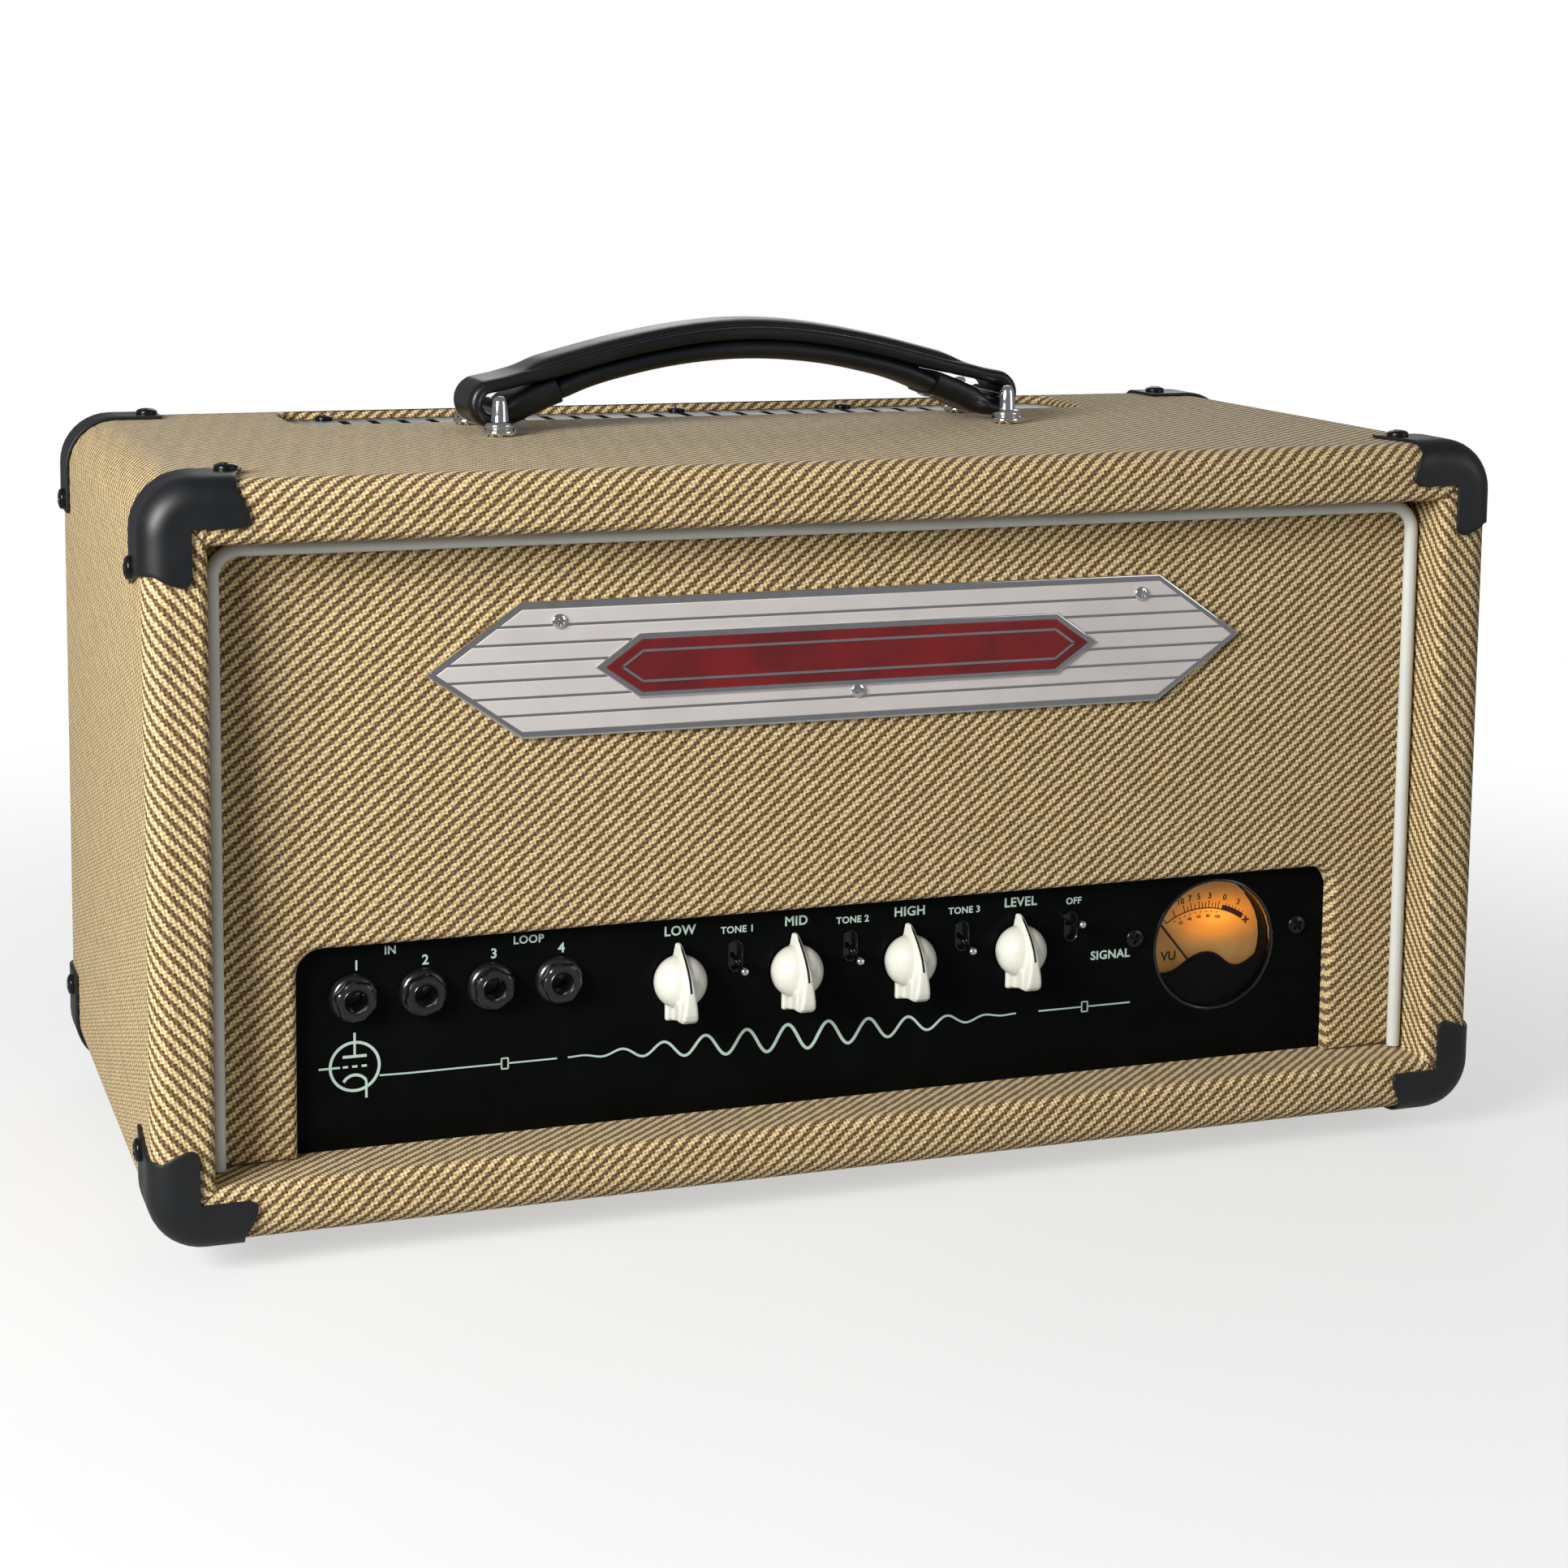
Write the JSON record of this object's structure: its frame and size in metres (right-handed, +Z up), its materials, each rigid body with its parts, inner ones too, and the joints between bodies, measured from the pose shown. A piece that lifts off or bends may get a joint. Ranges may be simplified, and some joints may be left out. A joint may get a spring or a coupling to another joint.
{
  "type": "guitar amplifier",
  "caption": "Tweed-covered valve amplifier head with a carrying strap, top vent, recessed control panel with knobs, toggles, sockets and a lit level meter.",
  "frame": {"origin": "on the surface it stands on, under the middle of the cabinet", "axes": "+X to the player's right along the width, -Y out of the front where the controls are, +Z up"},
  "size_m": [0.508, 0.243, 0.312],
  "materials": {
    "tweed_covering": "plywood and MDF boards glued over with woven diagonal-stripe tweed cloth",
    "piping": "off-white extruded vinyl piping",
    "corner_metal": "pressed steel, satin black",
    "grille_metal": "black powder-coated sheet steel",
    "panel_black": "gloss black control panel with pale green print",
    "chassis_steel": "zinc-plated folded steel",
    "badge_enamel": "chromed plate with cream and dark red enamel",
    "knob_cream": "moulded cream plastic with a black pointer line",
    "lever_chrome": "bright plated",
    "socket_black": "black moulded socket with a dark plated nut",
    "meter_black": "black moulded meter case and needle",
    "meter_dial": "amber dial lit from behind its upper edge",
    "meter_glass": "clear window",
    "strap_leather": "black grained leather-look vinyl over a padded core",
    "valve_glass": "clear blown glass on a moulded base",
    "circuit_board": "green solder mask with soldered components",
    "transformer_iron": "black varnished laminations and taped winding",
    "foot_rubber": "moulded black rubber"
  },
  "bodies": {
    "cabinet": {"cabinet_top": "tweed_covering", "cabinet_base": "tweed_covering", "cabinet_left_side": "tweed_covering", "cabinet_right_side": "tweed_covering", "front_baffle": "tweed_covering", "baffle_piping": "piping", "corner_front_top_left": "corner_metal", "corner_front_top_right": "corner_metal", "corner_front_bottom_left": "corner_metal", "corner_front_bottom_right": "corner_metal", "corner_rear_top_left": "corner_metal", "corner_rear_top_right": "corner_metal", "corner_rear_bottom_left": "corner_metal", "corner_rear_bottom_right": "corner_metal", "vent_grille": "grille_metal", "rear_guard": "grille_metal", "control_panel": "panel_black", "chassis": "chassis_steel", "badge_plate": "badge_enamel", "handle_bracket_left": "lever_chrome", "handle_bracket_right": "lever_chrome", "input_jack_high": "socket_black", "input_jack_low": "socket_black", "loop_send_jack": "socket_black", "loop_return_jack": "socket_black", "speaker_jack_1": "socket_black", "speaker_jack_2": "socket_black", "mains_inlet": "socket_black", "power_switch_frame": "socket_black", "standby_switch_frame": "socket_black", "meter_housing": "meter_black", "meter_dial": "meter_dial", "meter_lens": "meter_glass", "power_valve_1": "valve_glass", "power_valve_2": "valve_glass", "power_valve_3": "valve_glass", "power_valve_4": "valve_glass", "preamp_valve_1": "valve_glass", "preamp_valve_2": "valve_glass", "preamp_valve_3": "valve_glass", "main_board": "circuit_board", "control_board": "circuit_board", "mains_transformer": "transformer_iron", "output_transformer": "transformer_iron", "foot_front_left": "foot_rubber", "foot_front_right": "foot_rubber", "foot_rear_left": "foot_rubber", "foot_rear_right": "foot_rubber"},
    "bass_control": {"bass_knob": "knob_cream"},
    "middle_control": {"middle_knob": "knob_cream"},
    "treble_control": {"treble_knob": "knob_cream"},
    "master_control": {"master_knob": "knob_cream"},
    "mid_shift_toggle": {"mid_shift_lever": "lever_chrome"},
    "bass_shift_toggle": {"bass_shift_lever": "lever_chrome"},
    "bright_toggle": {"bright_lever": "lever_chrome"},
    "mute_toggle": {"mute_lever": "lever_chrome"},
    "needle": {"meter_needle": "meter_black"},
    "power_switch": {"power_rocker": "socket_black"},
    "standby_switch": {"standby_rocker": "socket_black"},
    "handle": {"handle_strap": "strap_leather"}
  },
  "joints": [
    {"name": "bass_turn", "type": "hinge", "parent": "cabinet", "child": "bass_control", "pos_m": [-0.0625, -0.094, 0.0825], "axis": [0, 1, 0], "range_deg": [-150, 150]},
    {"name": "middle_turn", "type": "hinge", "parent": "cabinet", "child": "middle_control", "pos_m": [-0.0181, -0.094, 0.0825], "axis": [0, 1, 0], "range_deg": [-150, 150]},
    {"name": "treble_turn", "type": "hinge", "parent": "cabinet", "child": "treble_control", "pos_m": [0.0263, -0.094, 0.0825], "axis": [0, 1, 0], "range_deg": [-150, 150]},
    {"name": "master_turn", "type": "hinge", "parent": "cabinet", "child": "master_control", "pos_m": [0.0707, -0.094, 0.0825], "axis": [0, 1, 0], "range_deg": [-150, 150]},
    {"name": "mid_shift_flip", "type": "hinge", "parent": "cabinet", "child": "mid_shift_toggle", "pos_m": [-0.0403, -0.089, 0.089], "axis": [1, 0, 0], "range_deg": [-24, 0]},
    {"name": "bass_shift_flip", "type": "hinge", "parent": "cabinet", "child": "bass_shift_toggle", "pos_m": [0.0041, -0.089, 0.089], "axis": [1, 0, 0], "range_deg": [-24, 0]},
    {"name": "bright_flip", "type": "hinge", "parent": "cabinet", "child": "bright_toggle", "pos_m": [0.0485, -0.089, 0.089], "axis": [1, 0, 0], "range_deg": [-24, 0]},
    {"name": "mute_flip", "type": "hinge", "parent": "cabinet", "child": "mute_toggle", "pos_m": [0.0929, -0.089, 0.089], "axis": [1, 0, 0], "range_deg": [0, 24]},
    {"name": "needle_swing", "type": "hinge", "parent": "cabinet", "child": "needle", "pos_m": [0.1533, -0.0878, 0.0605], "axis": [0, 1, 0], "range_deg": [0, 78], "stiffness_Nm_per_rad": 0.0002},
    {"name": "power_flip", "type": "hinge", "parent": "cabinet", "child": "power_switch", "pos_m": [0.105, 0.088, 0.07], "axis": [1, 0, 0], "range_deg": [-14, 0]},
    {"name": "standby_flip", "type": "hinge", "parent": "cabinet", "child": "standby_switch", "pos_m": [0.07, 0.088, 0.07], "axis": [1, 0, 0], "range_deg": [-14, 0]},
    {"name": "handle_lift", "type": "slide", "parent": "cabinet", "child": "handle", "axis": [0, 0, 1], "range_m": [0, 0.003]}
  ]
}
